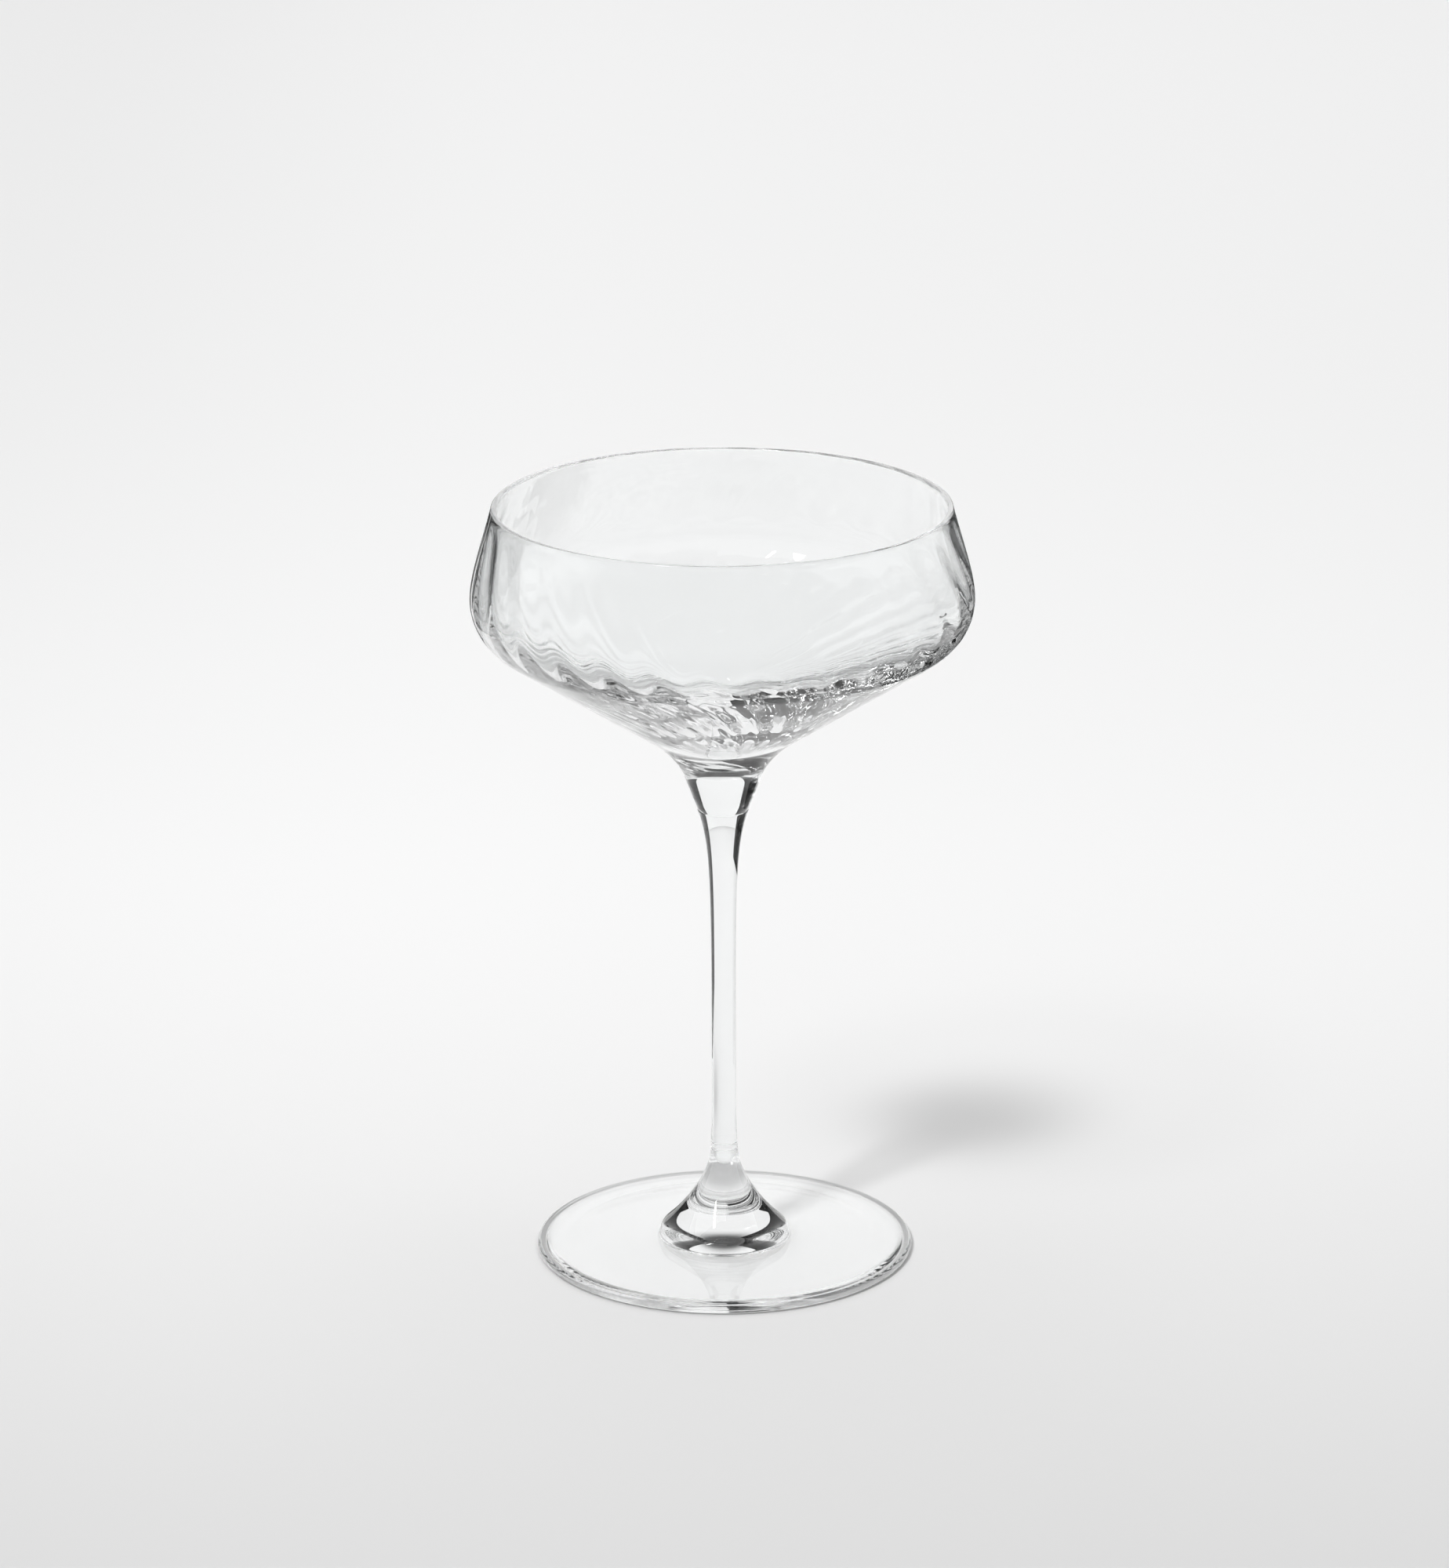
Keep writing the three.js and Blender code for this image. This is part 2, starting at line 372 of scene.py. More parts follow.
@dataclass
class Turned:
    """A piece of glass that is round about the stem's axis."""

    crystal: bpy.types.Material
    joint: bpy.types.Material
    node: Node = Node.BOWL
    facets: int = 240
    groove: float = 0.1 * MM
    slack: float = 0.001 * MM
    merge: float = 0.0005 * MM
    joint_tolerance: float = 0.001 * MM
    flat_normal: float = 0.999

    def outline(self) -> Outline:
        """Gives the piece's outline from axis to axis, as radii and heights."""
        raise NotImplementedError

    def joint_heights(self) -> list[float]:
        """Gives the heights of the piece's fused faces."""
        return []

    def draw(self, mesh: bmesh.types.BMesh) -> list[bmesh.types.BMVert]:
        """Puts the outline's points into the mesh, in order."""
        return [mesh.verts.new((p.x, 0.0, p.y)) for p in self.outline()]

    def shape(self, mesh: bmesh.types.BMesh) -> None:
        """Works on the turned mesh; a plain turned piece needs nothing more."""

    def build(self) -> bpy.types.Object:
        """Turns the outline about the axis and closes it.

        Returns:
            The piece, in place.
        """
        mesh = bmesh.new()
        ring = self.draw(mesh)
        edges = [mesh.edges.new(pair) for pair in zip(ring, ring[1:])]
        bmesh.ops.spin(
            mesh,
            geom=ring + edges,
            cent=(0, 0, 0),
            axis=(0, 0, 1),
            dvec=(0, 0, 0),
            angle=math.tau,
            steps=self.facets,
            use_merge=True,
        )
        bmesh.ops.remove_doubles(mesh, verts=mesh.verts, dist=self.merge)
        bmesh.ops.recalc_face_normals(mesh, faces=mesh.faces)
        mesh.normal_update()
        self.shape(mesh)
        data = bpy.data.meshes.new(f"{self.node.value}_glass")
        self.mark_joints(mesh)
        mesh.to_mesh(data)
        mesh.free()
        piece = bpy.data.objects.new(f"{self.node.value}_glass", data)
        bpy.context.scene.collection.objects.link(piece)
        return piece

    def mark_joints(self, mesh: bmesh.types.BMesh) -> None:
        """Smooths the skin, and gives the fused faces the second material and a sharp edge.

        Args:
            mesh: the piece's mesh.
        """
        heights = self.joint_heights()
        for face in mesh.faces:
            flat = abs(face.normal.z) > self.flat_normal
            level = face.calc_center_median().z
            fused = flat and any(abs(level - height) < self.joint_tolerance for height in heights)
            face.material_index = 1 if fused else 0
            face.smooth = not fused
        for edge in mesh.edges:
            if len({face.material_index for face in edge.link_faces}) > 1:
                edge.smooth = False

    def dress(self, piece: bpy.types.Object) -> None:
        """Gives the piece its glass and ties it to the frame.

        Args:
            piece: the built piece.
        """
        piece.data.materials.append(self.crystal)
        piece.data.materials.append(self.joint)
        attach(piece, BODY)
        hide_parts(self.node.value)
        LOG.info("%s: %d faces", piece.name, len(piece.data.polygons))


@dataclass
class Foot(Turned):
    """The round foot: a thin disc with a rounded edge, and a conical boss up to the lower joint."""

    node: Node = Node.FOOT
    facets: int = 288
    edge_thickness: float = 1.9 * MM
    edge_lower_round: float = 1.6 * MM
    edge_upper_round: float = 1.2 * MM
    rest_width: float = 4.5 * MM
    hollow_depth: float = 0.9 * MM
    dimple_radius: float = 12.0 * MM
    dimple_depth: float = 1.6 * MM
    bead_width: float = 1.0 * MM
    bead_dip: float = 0.2 * MM
    thickness_at_boss: float = 2.85 * MM
    boss_radius: float = 14.3 * MM
    toe_height: float = 1.9 * MM
    toe_round: float = 1.5 * MM
    fillet: float = 0.8 * MM
    neck_reach: float = 5.9 * MM
    skirt_reach: float = 5.7 * MM
    skirt_angle: float = 40.0
    joint_radius: float = 3.0 * MM

    def __post_init__(self) -> None:
        """Takes the foot's radius and height from the frame."""
        low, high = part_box(self.node.value)
        self.radius = high.x
        self.joint_height = high.z
        self.base = low.z

    def joint_heights(self) -> list[float]:
        """Gives the height of the joint with the stem."""
        return [self.joint_height]

    def outline(self) -> Outline:
        """Gives the outline from the middle of the underside to the middle of the joint.

        Returns:
            The outline's points.
        """
        rest_outer = self.radius - self.edge_lower_round
        rest_inner = rest_outer - self.rest_width
        disc_top = self.thickness_at_boss
        dimple = Vector((0.0, self.hollow_depth + self.dimple_depth))
        hollow = Vector((self.dimple_radius, self.hollow_depth))
        hollow_corner = Vector(((self.dimple_radius + rest_inner) / 2, self.hollow_depth))
        ring = Vector((rest_inner, self.base))
        ring_end = Vector((rest_outer, self.base))
        widest = Vector((self.radius, self.edge_thickness / 2))
        disc_edge = Vector((self.radius - self.edge_upper_round, self.edge_thickness))
        fillet_outer = Vector((self.boss_radius + self.fillet, disc_top))
        bead_end = disc_edge + (fillet_outer - disc_edge).normalized() * self.bead_width
        # A bend goes half as low as its corner
        bead_low = (disc_edge + bead_end) / 2 - Vector((0.0, self.bead_dip * 2))
        toe = Vector((self.boss_radius, disc_top + self.toe_height))
        toe_low = Vector((self.boss_radius, toe.y - self.toe_round))
        toe_high = polar(toe, 180 - self.skirt_angle, self.toe_round)
        skirt = polar(toe_high, 180 - self.skirt_angle, self.skirt_reach)
        joint = Vector((self.joint_radius, self.joint_height - self.groove))
        neck = Vector((self.joint_radius, joint.y - self.neck_reach))
        joint_edge = Vector((self.joint_radius - self.groove, self.joint_height))
        return [
            dimple,
            *bend(dimple, Vector((self.dimple_radius / 2, dimple.y)), hollow, steps=20),
            *bend(hollow, hollow_corner, ring, steps=24),
            *straight(ring, ring_end, steps=3),
            *bend(ring_end, Vector((self.radius, self.base)), widest, steps=12),
            *bend(widest, Vector((self.radius, self.edge_thickness)), disc_edge, steps=16),
            *bend(disc_edge, bead_low, bead_end, steps=12),
            *straight(bead_end, fillet_outer, steps=12),
            *bend(fillet_outer, Vector((self.boss_radius, disc_top)), toe_low, steps=12),
            *bend(toe_low, toe, toe_high, steps=12),
            *sweep(toe_high, skirt, neck, joint, steps=48),
            joint_edge,
            Vector((0.0, self.joint_height)),
        ]


@dataclass
class Stem(Turned):
    """The drawn stem, thinnest above the foot and widening into the bowl's neck."""

    node: Node = Node.STEM
    facets: int = 128
    foot_radius: float = 3.0 * MM
    waist_radius: float = 2.68 * MM
    waist_height: float = 10.0 * MM
    flare_reach: float = 9.0 * MM
    straight_reach: float = 50.0 * MM
    taper: float = 20.4

    def __post_init__(self) -> None:
        """Takes the stem's ends from the frame."""
        low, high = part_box(self.node.value)
        self.top_radius = high.x
        self.lower = low.z
        self.upper = high.z

    def joint_heights(self) -> list[float]:
        """Gives the heights of the joints with the foot and the bowl."""
        return [self.lower, self.upper]

    def outline(self) -> Outline:
        """Gives the outline from the middle of the lower joint to the middle of the upper one.

        Returns:
            The outline's points.
        """
        low_edge = Vector((self.foot_radius - self.groove, self.lower))
        low = Vector((self.foot_radius, self.lower + self.groove))
        waist = Vector((self.waist_radius, self.lower + self.waist_height))
        waist_corner = Vector((self.waist_radius, self.lower + self.waist_height / 2))
        top = Vector((self.top_radius, self.upper - self.groove))
        up = Vector((self.waist_radius, waist.y + self.straight_reach))
        flare = polar(top, 270 - self.taper, self.flare_reach)
        return [
            Vector((0.0, self.lower)),
            low_edge,
            low,
            *bend(low, waist_corner, waist, steps=16),
            *sweep(waist, up, flare, top, steps=72),
            Vector((self.top_radius - self.groove, self.upper)),
            Vector((0.0, self.upper)),
        ]


@dataclass
class Bowl(Turned):
    """The blown bowl: solid neck, cone, round shoulder and a wall that leans in, ribbed on its inside."""

    node: Node = Node.BOWL
    facets: int = 360
    joint_radius: float = 5.6 * MM
    neck_taper: float = 20.4
    neck_height: float = 12.7 * MM
    neck_fairing: float = 5.4 * MM
    cone_fairing: float = 8.6 * MM
    shoulder_round: float = 12.0 * MM
    belly_height: float = 47.8 * MM
    rim_radius: float = 49.6 * MM
    rim_lean: float = 14.0
    wall_reach_low: float = 5.0 * MM
    wall_reach_high: float = 8.0 * MM
    rim_wall: float = 1.2 * MM
    belly_wall: float = 1.5 * MM
    bottom_thickness: float = 20.0 * MM
    floor_radius: float = 2.5 * MM
    floor_round: float = 5.0 * MM
    well_radius: float = 17.0 * MM
    well_height: float = 25.04 * MM
    well_round: float = 8.0 * MM
    inner_round: float = 9.0 * MM
    inner_height: float = 48.3 * MM
    rib_inner: float = 8.0 * MM
    rib_outer: float = 16.0 * MM
    rib_wall_share: float = 0.55
    rib_rim_fade: float = 6.0 * MM
    rib_count: int = 30
    rib_rise: float = 0.15 * MM
    rib_twist_per_mm: float = 0.5
    rib_start: float = 0.3

    def __post_init__(self) -> None:
        """Takes the bowl's ends and its widest radius from the frame."""
        low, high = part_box(self.node.value)
        self.belly_radius = high.x - self.slack
        self.joint_height = low.z
        self.rim_height = high.z
        self.belly = low.z + self.belly_height
        self.shoulder = Vector((self.belly_radius - self.shoulder_round, self.belly))
        half_wall = self.rim_wall / 2
        self.lip = Vector((self.rim_radius - half_wall, self.rim_height - half_wall))

    def joint_heights(self) -> list[float]:
        """Gives the height of the joint with the stem."""
        return [self.joint_height]

    def outside(self) -> Outline:
        """Gives the outside, from the middle of the joint to the rim.

        Returns:
            The outside's points.
        """
        joint = Vector((self.joint_radius, self.joint_height + self.groove))
        spread = self.neck_height * math.tan(math.radians(self.neck_taper))
        corner = Vector((self.joint_radius + spread, self.joint_height + self.neck_height))
        neck_end = polar(corner, 270 - self.neck_taper, self.neck_fairing)
        slope, cone_end = tangent_below(corner, self.shoulder, self.shoulder_round)
        cone_start = polar(corner, slope, self.cone_fairing)
        belly = Vector((self.belly_radius, self.belly))
        rim = polar(self.lip, self.rim_lean, self.rim_wall / 2)
        return [
            Vector((0.0, self.joint_height)),
            Vector((self.joint_radius - self.groove, self.joint_height)),
            joint,
            *straight(joint, neck_end, steps=6),
            *bend(neck_end, corner, cone_start, steps=20),
            *straight(cone_start, cone_end, steps=8),
            *arc(self.shoulder, self.shoulder_round, slope - 90, 0, steps=24),
            *sweep(
                belly,
                belly + Vector((0.0, self.wall_reach_low)),
                polar(rim, self.rim_lean - 90, self.wall_reach_high),
                rim,
                steps=18,
            ),
            *arc(self.lip, self.rim_wall / 2, self.rim_lean, 90, steps=6),
            *arc(self.lip, self.rim_wall / 2, 90, self.rim_lean + 180, steps=6),
        ]

    def inside(self) -> Outline:
        """Gives the inside, from the rim down to the middle of the floor.

        Returns:
            The inside's points.
        """
        rim = polar(self.lip, self.rim_lean + 180, self.rim_wall / 2)
        belly = Vector((self.belly_radius - self.belly_wall, self.joint_height + self.inner_height))
        shoulder = belly - Vector((self.inner_round, 0.0))
        well = Vector((self.well_radius, self.joint_height + self.well_height))
        slope, cone_end = tangent_below(well, shoulder, self.inner_round)
        well_start = polar(well, slope, self.well_round)
        floor = Vector((self.floor_radius, self.joint_height + self.bottom_thickness))
        well_end = well + (floor - well).normalized() * self.well_round
        floor_start = floor + (well - floor).normalized() * self.floor_round
        return [
            *sweep(
                rim,
                polar(rim, self.rim_lean - 90, self.wall_reach_high),
                belly + Vector((0.0, self.wall_reach_low)),
                belly,
                steps=22,
            ),
            *arc(shoulder, self.inner_round, 0, slope - 90, steps=24),
            *straight(cone_end, well_start, steps=36),
            *bend(well_start, well, well_end, steps=16),
            *straight(well_end, floor_start, steps=16),
            *bend(floor_start, floor, Vector((0.0, floor.y)), steps=20),
        ]

    def outline(self) -> Outline:
        """Gives the whole outline, up the outside and down the inside."""
        return [*self.outside(), *self.inside()]

    def draw(self, mesh: bmesh.types.BMesh) -> list[bmesh.types.BMVert]:
        """Puts the outline into the mesh, and notes on its inside how the ribs rise and wind there.

        Args:
            mesh: the bowl's mesh, still empty.

        Returns:
            The outline's points in order.
        """
        rise = mesh.verts.layers.float.new("rib_rise")
        wind = mesh.verts.layers.float.new("rib_wind")
        ring = super().draw(mesh)
        shoulder = self.joint_height + self.inner_height
        rim_fade = self.rim_height - self.rib_rim_fade
        way = 0.0
        first = len(self.outside())
        for before, vert in zip(ring[first - 1:], ring[first:]):
            height = vert.co.z
            way += (vert.co - before.co).length
            off_floor = smooth_step(vert.co.x, self.rib_inner, self.rib_outer)
            on_wall = smooth_step(height, shoulder - self.inner_round, shoulder)
            at_rim = smooth_step(height, rim_fade, self.rim_height - self.rim_wall)
            fade_high = (1 - (1 - self.rib_wall_share) * on_wall) * (1 - at_rim)
            vert[rise] = self.rib_rise * off_floor * fade_high
            vert[wind] = math.radians(self.rib_twist_per_mm * way / MM)
        return ring

    def shape(self, mesh: bmesh.types.BMesh) -> None:
        """Raises the ribs on the inside and winds them round as they go down from the rim.

        Args:
            mesh: the turned bowl.
        """
        rise = mesh.verts.layers.float["rib_rise"]
        wind = mesh.verts.layers.float["rib_wind"]
        start = math.radians(self.rib_start)
        for vert in mesh.verts:
            angle = math.atan2(vert.co.y, vert.co.x)
            crest = math.cos(self.rib_count * (angle - start))
            raised = vert.co + vert.normal * vert[rise] * crest
            vert.co = Matrix.Rotation(vert[wind], 3, "Z") @ raised
        mesh.normal_update()


@dataclass(frozen=True)
class Card:
    """A card bent round the glass, which only the glass sees, and only along some rays.

    A plain ray must have come from further off than the bowl's wall, so that the stem and the solid glass
    show the card and the thin wall stays clear. A ray that the glass has mirrored often enough meets the card
    from anywhere.

    Args:
        name: the card's name.
        radius: its distance from the glass's axis.
        start: direction of its first edge in degrees, the right being zero.
        end: direction of its other edge at its lower end.
        height: how high its upper end is.
        base: how high its lower end is.
        lean: how much further round the other edge is at the upper end.
        reach: how far a plain ray must have come to meet it.
        mirrorings: how often the glass must have mirrored any other ray.
        tone: how bright it is, one being white.
        steps: how many flat pieces its bend is cut into.
    """

    name: str
    radius: float
    start: float
    end: float
    height: float
    base: float = 0.0
    lean: float = 0.0
    reach: float = BEYOND_STUDIO
    mirrorings: int = NEVER_MIRRORED
    tone: float = 0.0
    steps: int = 24

    def cloth(self) -> bpy.types.Material:
        """Makes a cloth that only the card's chosen rays meet, and that is clear to all others.

        Returns:
            The material.
        """
        material, tree, output = new_material(f"{self.name}_cloth")
        path = add_node(tree, "ShaderNodeLightPath")
        far = add_node(
            tree,
            "ShaderNodeMath",
            {1: self.reach},
            {0: path.outputs["Ray Length"]},
            operation="GREATER_THAN",
        )
        mirrored = add_node(
            tree,
            "ShaderNodeMath",
            {1: self.mirrorings - HALF_COUNT},
            {0: path.outputs["Glossy Depth"]},
            operation="GREATER_THAN",
        )
        seen = add_node(
            tree,
            "ShaderNodeMath",
            links={0: far.outputs["Value"], 1: mirrored.outputs["Value"]},
            operation="MAXIMUM",
        )
        clear = add_node(tree, "ShaderNodeBsdfTransparent")
        light = add_node(tree, "ShaderNodeEmission", {"Strength": self.tone})
        mix = add_node(
            tree,
            "ShaderNodeMixShader",
            links={0: seen.outputs["Value"], 1: clear.outputs["BSDF"], 2: light.outputs["Emission"]},
        )
        tree.links.new(mix.outputs["Shader"], output.inputs["Surface"])
        return material

    def mesh(self) -> bmesh.types.BMesh:
        """Bends the card round the glass.

        Returns:
            The card's mesh.
        """
        mesh = bmesh.new()
        rows = []
        for level, end in ((self.base, self.end), (self.height, self.end + self.lean)):
            row = []
            for share in (0.0, *shares(self.steps)):
                angle = math.radians(self.start + (end - self.start) * share)
                spot = (self.radius * math.cos(angle), self.radius * math.sin(angle), level)
                row.append(mesh.verts.new(spot))
            rows.append(row)
        edges = [mesh.edges.new(pair) for row in rows for pair in zip(row, row[1:])]
        bmesh.ops.bridge_loops(mesh, edges=edges)
        return mesh


CARDS = (
    # Black cards beside the stem: each draws the dark stripe on the stem's other side, down to its thin tip
    Card("card_right", radius=0.119, start=4.0, end=50.0, lean=11.0, base=0.02, height=0.165, reach=0.103),
    Card("card_right_tip", radius=0.119, start=4.0, end=28.0, lean=22.0, height=0.02, reach=0.103),
    Card("card_left", radius=0.373, start=170.0, end=119.0, lean=-11.0, base=0.014, height=0.42, reach=0.342),
    Card("card_left_tip", radius=0.373, start=170.0, end=150.0, lean=-31.0, height=0.014, reach=0.342),
    # Narrow black cards that the wall mirrors near its two edges
    Card("edge_left", radius=0.10, start=125.0, end=137.0, base=0.11, height=0.17, mirrorings=1),
    Card("edge_right", radius=0.10, start=55.0, end=38.0, base=0.11, height=0.17, mirrorings=1),
    # Black cards whose images are the dark crescents in the boss
    Card("boss_left", radius=0.42, start=118.0, end=140.0, height=0.45, mirrorings=1),
    Card("boss_right", radius=0.42, start=62.0, end=40.0, height=0.45, mirrorings=1),
    # Black on the left and grey on the right, which the ribs mirror
    Card("ribs_left", radius=0.41, start=180.0, end=92.0, height=0.45, mirrorings=2),
    Card("wall_left", radius=3.4, start=180.0, end=92.0, height=4.5, mirrorings=2),
    Card("wall_right", radius=3.5, start=0.0, end=57.0, height=2.5, mirrorings=2, tone=0.5),
    # Bright strips whose mirror images glint among the ribs on the right
    Card("glint_middle", radius=0.40, start=130.0, end=126.0, base=0.12, height=0.4, mirrorings=2, tone=12.0),
    Card("glint_side", radius=0.40, start=146.0, end=140.0, base=0.12, height=0.4, mirrorings=2, tone=8.0),
    # The pale room in front, on the key's side
    Card("room_front", radius=3.5, start=180.0, end=275.0, height=6.0, reach=0.0, tone=0.9),
)


class Way(Enum):
    """The ways along which the paper's painted light and shade change."""

    ACROSS = "across"
    BACK = "back"
    OUT = "out from the glass"


@dataclass(frozen=True)
class Shade:
    """A smooth change of the paper's colour, which paints light or shade on it.

    Args:
        way: the way along which it changes.
        start: where the change starts.
        end: where it ends.
        before: what it adds to the tone up to its start.
        after: what it adds to the tone from its end.
    """

    way: Way
    start: float
    end: float
    before: float
    after: float


PAINTED_LIGHT_ON_PAPER = (
    # Painted light and shade: greyer towards the front, pale again further in front, and palest far behind
    Shade(Way.BACK, start=-0.45, end=0.30, before=0.575, after=0.90),
    Shade(Way.BACK, start=-1.4, end=-0.5, before=0.325, after=0.0),
    Shade(Way.BACK, start=0.6, end=1.7, before=0.0, after=0.06),
    # Painted shade: a little greyer on the left, the key's side
    Shade(Way.ACROSS, start=-0.30, end=-0.05, before=-0.06, after=0.0),
    # Painted light: paler under the foot, standing in for the light that the foot gathers there
    Shade(Way.OUT, start=36.0 * MM, end=41.0 * MM, before=0.07, after=0.0),
)


@dataclass(frozen=True)
class Softbox:
    """A square soft lamp.

    Args:
        name: the lamp's name.
        place: where it hangs.
        aim: where it points.
        size: its side.
        power: its radiance times its area.
    """

    name: str
    place: tuple[float, float, float]
    aim: tuple[float, float, float]
    size: float
    power: float

    def stand(self) -> Matrix:
        """Works out how the lamp hangs.

        Returns:
            The lamp's place and turn as one matrix.
        """
        place = Vector(self.place)
        turn = (Vector(self.aim) - place).to_track_quat("-Z", "Y")
        return Matrix.Translation(place) @ turn.to_matrix().to_4x4()

    def hang(self) -> None:
        """Hangs the lamp, which the glass itself doesn't mirror."""
        lamp = bpy.data.lights.new(self.name, "AREA")
        lamp.shape = "SQUARE"
        lamp.size = self.size
        lamp.energy = math.pi * self.power
        lamp.cycles.use_multiple_importance_sampling = False
        holder = bpy.data.objects.new(self.name, lamp)
        holder.matrix_world = self.stand()
        bpy.context.scene.collection.objects.link(holder)


KEY = Softbox("key_softbox", place=(-1.09, -1.5, 2.46), aim=(0.0, 0.0, 0.1), size=0.42, power=20.0)
FILL = Softbox("fill_ceiling", place=(0.0, 2.0, 3.4), aim=(0.0, 2.0, 0.0), size=5.0, power=43.75)


@dataclass
class Studio:
    """The paper floor with painted light and shade, the pale wall, the lamps and the cards round the glass.
    """

    floor_radius: float = 4.0
    floor_gap: float = 0.05 * MM
    floor_sides: int = 96
    wall_height: float = 5.0
    wall_glow: float = 0.94
    dim_start: float = 2.4
    dim_end: float = 4.8
    ceiling: float = 0.10
    strip_width: float = 0.22
    strip_height: float = 1.0
    strip_glow: float = 18.0

    def place(self, name: str, mesh: bmesh.types.BMesh, material: bpy.types.Material) -> bpy.types.Object:
        """Puts a finished mesh into the studio.

        Args:
            name: the thing's name.
            mesh: its mesh, which is used up.
            material: its material.

        Returns:
            The thing.
        """
        data = bpy.data.meshes.new(name)
        mesh.to_mesh(data)
        mesh.free()
        data.materials.append(material)
        thing = bpy.data.objects.new(name, data)
        bpy.context.scene.collection.objects.link(thing)
        return thing

    def paper(self) -> bpy.types.Material:
        """Makes white paper with light and shade painted into its colour: palest behind the glass and greyer
        towards the front.

        Returns:
            The material.
        """
        material, tree, output = new_material("paper_painted_light")
        place = add_node(tree, "ShaderNodeTexCoord").outputs["Object"]
        axes = add_node(tree, "ShaderNodeSeparateXYZ", links={"Vector": place})
        radius = add_node(tree, "ShaderNodeVectorMath", links={0: place}, operation="LENGTH")
        ways = {Way.ACROSS: axes.outputs["X"], Way.BACK: axes.outputs["Y"], Way.OUT: radius.outputs["Value"]}
        changes = []
        for shade in PAINTED_LIGHT_ON_PAPER:
            change = add_node(
                tree,
                "ShaderNodeMapRange",
                {
                    "From Min": shade.start,
                    "From Max": shade.end,
                    "To Min": shade.before,
                    "To Max": shade.after,
                },
                {"Value": ways[shade.way]},
                interpolation_type="SMOOTHSTEP",
            )
            changes.append(change.outputs["Result"])
        tone = changes[0]
        for change in changes[1:]:
            total = add_node(tree, "ShaderNodeMath", links={0: tone, 1: change}, operation="ADD")
            tone = total.outputs["Value"]
        # The paper's colour carries the painted light and shade, added up from all the changes above
        paper = add_node(tree, "ShaderNodeBsdfDiffuse", links={"Color": tone})
        tree.links.new(paper.outputs["BSDF"], output.inputs["Surface"])
        return material

    def glow(self, name: str, strength: float) -> bpy.types.Material:
        """Makes an even glow.

        Args:
            name: the material's name.
            strength: how bright it is, one being white.

        Returns:
            The material.
        """
        material, tree, output = new_material(name)
        light = add_node(tree, "ShaderNodeEmission", {"Strength": strength})
        tree.links.new(light.outputs["Emission"], output.inputs["Surface"])
        return material

    def pale_wall(self) -> bpy.types.Material:
        """Makes a pale glow that dims towards the ceiling.

        Returns:
            The material.
        """
        material, tree, output = new_material("wall_pale")
        place = add_node(tree, "ShaderNodeTexCoord")
        axes = add_node(tree, "ShaderNodeSeparateXYZ", links={"Vector": place.outputs["Object"]})
        dim = add_node(
            tree,
            "ShaderNodeMapRange",
            {
                "From Min": self.dim_start,
                "From Max": self.dim_end,
                "To Min": self.wall_glow,
                "To Max": self.ceiling,
            },
            {"Value": axes.outputs["Z"]},
            interpolation_type="SMOOTHSTEP",
        )
        light = add_node(tree, "ShaderNodeEmission", links={"Strength": dim.outputs["Result"]})
        tree.links.new(light.outputs["Emission"], output.inputs["Surface"])
        return material

    def floor(self) -> None:
        """Lays the paper floor that the glass stands on, and stands the pale wall round it."""
        floor = bmesh.new()
        bmesh.ops.create_circle(floor, cap_ends=True, segments=self.floor_sides, radius=self.floor_radius)
        bmesh.ops.translate(floor, verts=floor.verts, vec=(0, 0, -self.floor_gap))
        self.place("studio_floor", floor, self.paper())
        wall = bmesh.new()
        bmesh.ops.create_cone(
            wall,
            cap_ends=False,
            segments=self.floor_sides,
            radius1=self.floor_radius,
            radius2=self.floor_radius,
            depth=self.wall_height,
        )
        bmesh.ops.translate(wall, verts=wall.verts, vec=(0, 0, self.wall_height / 2 - self.floor_gap))
        thing = self.place("studio_wall", wall, self.pale_wall())
        thing.visible_diffuse = False
        thing.visible_shadow = False

    def show_to_glass(self, thing: bpy.types.Object) -> None:
        """Lets only the glass see a thing: it lights no paper, casts no shadow and isn't in the picture.

        Args:
            thing: the thing that the glass alone sees.
        """
        thing.visible_camera = False
        thing.visible_diffuse = False
        thing.visible_shadow = False

    def cards(self) -> None:
        """Stands the cards whose images draw the glass's dark and bright lines."""
        for card in CARDS:
            self.show_to_glass(self.place(card.name, card.mesh(), card.cloth()))

    def lamps(self) -> None:
        """Hangs the key up in front on the left and a wide fill overhead, and a bright strip at the key."""
        KEY.hang()
        FILL.hang()
        strip = bmesh.new()
        bmesh.ops.create_grid(strip, x_segments=1, y_segments=1, size=HALF_SIDE)
        bmesh.ops.scale(strip, vec=(self.strip_width, self.strip_height, 1.0), verts=strip.verts)
        bmesh.ops.transform(strip, matrix=KEY.stand(), verts=strip.verts)
        cloth = self.glow(f"{KEY.name}_cloth", self.strip_glow)
        self.show_to_glass(self.place(f"{KEY.name}_front", strip, cloth))

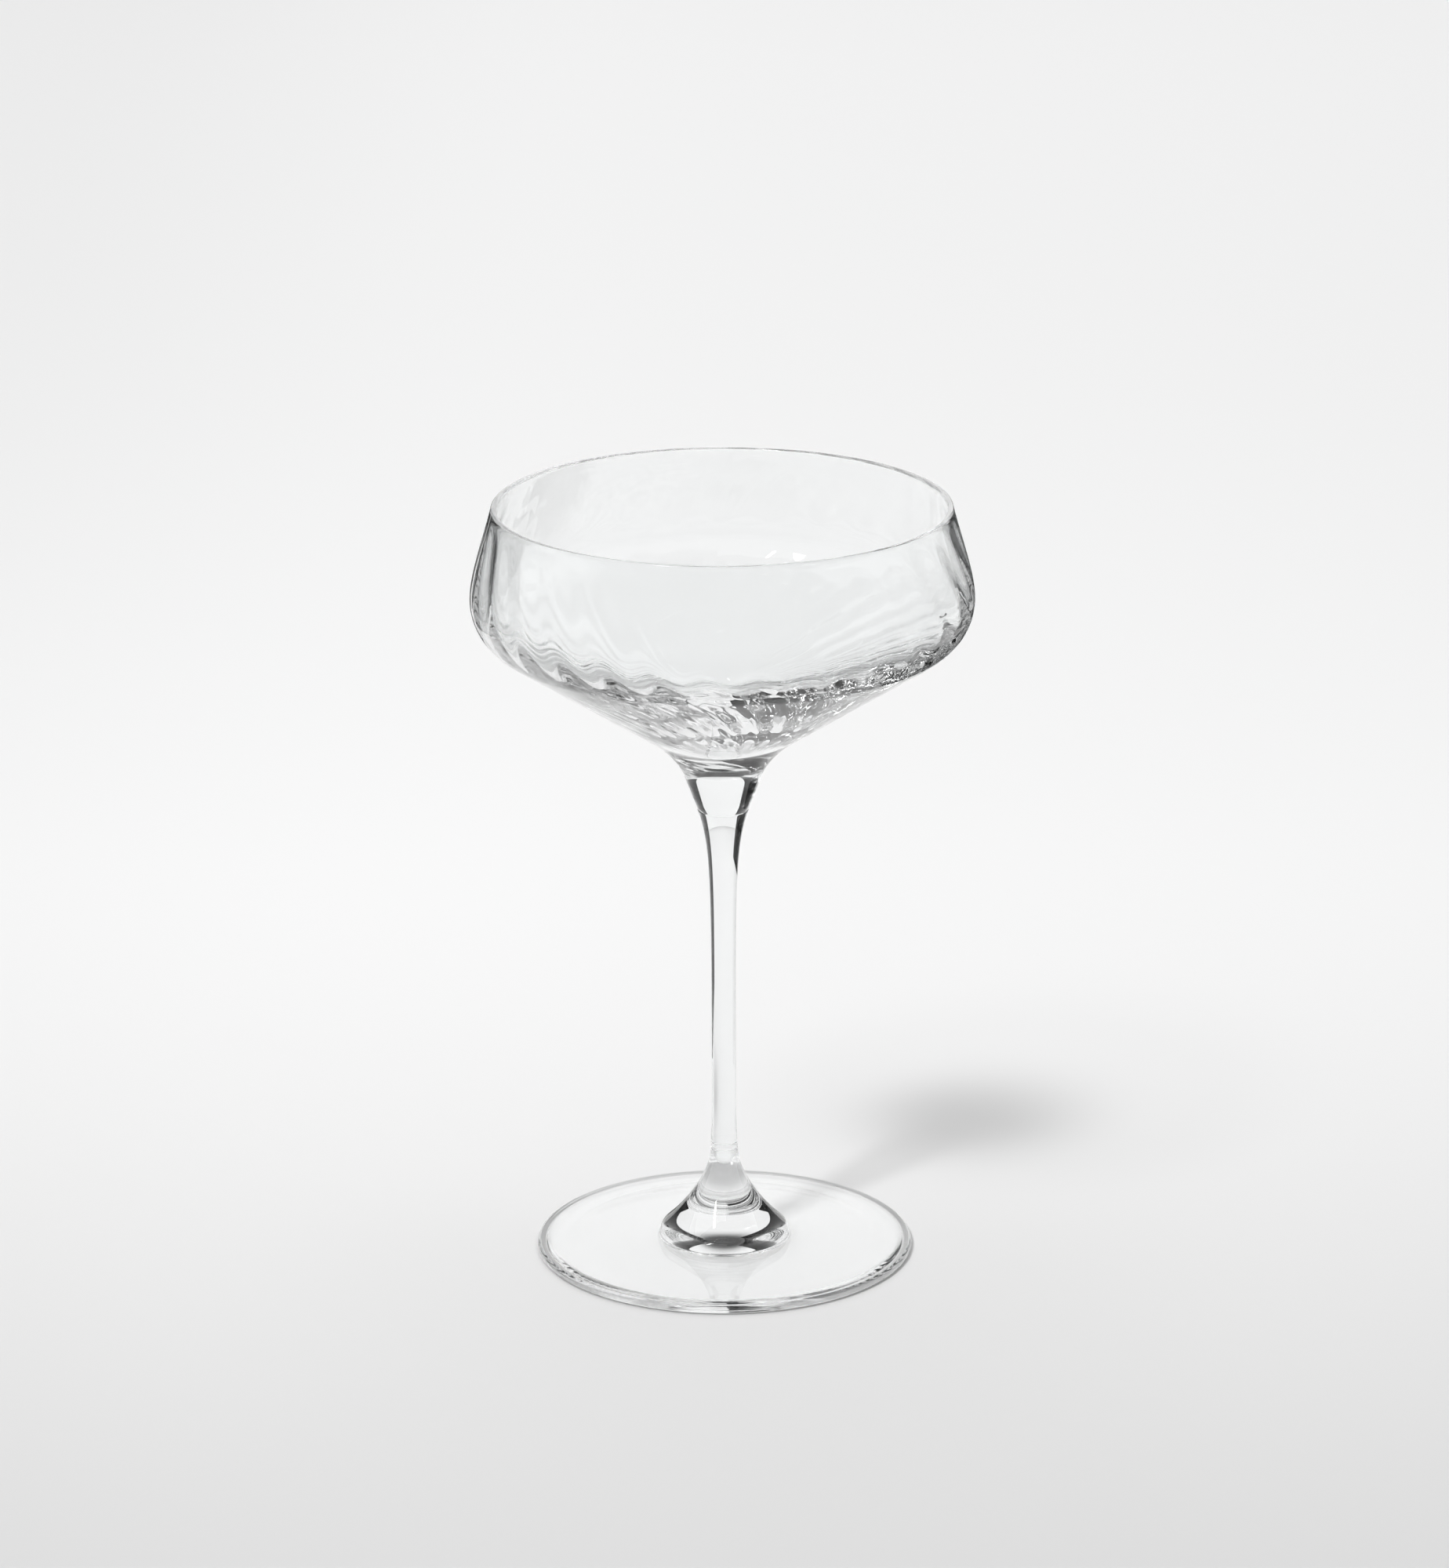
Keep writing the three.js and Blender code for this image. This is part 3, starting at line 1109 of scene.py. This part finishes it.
    def world(self) -> None:
        """Leaves the ceiling dark, so that the glass has dark edges."""
        world = bpy.data.worlds.new("studio")
        bpy.context.scene.world = world
        world.use_nodes = True
        tree = world.node_tree
        tree.nodes.clear()
        output = tree.nodes.new("ShaderNodeOutputWorld")
        sky = add_node(tree, "ShaderNodeBackground", {"Strength": self.ceiling})
        tree.links.new(sky.outputs["Background"], output.inputs["Surface"])
        world.cycles_visibility.diffuse = False

    def build(self) -> None:
        """Sets up the whole studio."""
        self.floor()
        self.cards()
        self.lamps()
        self.world()


@dataclass(frozen=True)
class PhotoCamera:
    """The camera at the photograph's viewing angle."""

    lens: float = 143.8
    sensor: float = 36.0
    place: tuple[float, float, float] = (0.00033, -1.2971, 0.5173)
    pitch: float = 17.544
    roll: float = 0.199

    def build(self) -> None:
        """Sets the camera down and makes it the scene's own."""
        pitch, roll = math.radians(self.pitch), math.radians(self.roll)
        ahead = Vector((0, math.cos(pitch), -math.sin(pitch)))
        right = Vector((1, 0, 0))
        up = Vector((0, math.sin(pitch), math.cos(pitch)))
        across = right * math.cos(roll) - up * math.sin(roll)
        upright = right * math.sin(roll) + up * math.cos(roll)
        turn = Matrix((across, upright, -ahead)).transposed()
        data = bpy.data.cameras.new("photo_camera")
        data.lens = self.lens
        data.sensor_width = self.sensor
        camera = bpy.data.objects.new("photo_camera", data)
        camera.matrix_world = Matrix.Translation(self.place) @ turn.to_4x4()
        bpy.context.scene.collection.objects.link(camera)
        bpy.context.scene.camera = camera


def main() -> None:
    """Builds the glass and its studio."""
    logging.basicConfig(level=logging.INFO, format="%(message)s")
    scene = bpy.context.scene
    scene.view_settings.view_transform = "Standard"
    scene.cycles.max_bounces = GLASS_BOUNCES
    scene.cycles.transmission_bounces = GLASS_BOUNCES
    scene.cycles.glossy_bounces = GLASS_BOUNCES
    scene.cycles.transparent_max_bounces = CLEAR_LAYERS
    scene.cycles.caustics_reflective = False
    scene.cycles.caustics_refractive = False
    joint = FusedJoint().material()
    pressed = Crystal(name="crystal_pressed", solid_pass=0.78, thin_pass=1.0, thin_mm=17.0, edge_pass=0.55)
    drawn = Crystal(name="crystal_drawn")
    blown = Crystal(name="crystal_blown")
    for kind, crystal in ((Foot, pressed), (Stem, drawn), (Bowl, blown)):
        part = kind(crystal.material(), joint)
        part.dress(part.build())
    Studio().build()
    PhotoCamera().build()


if __name__ == "__main__":
    main()
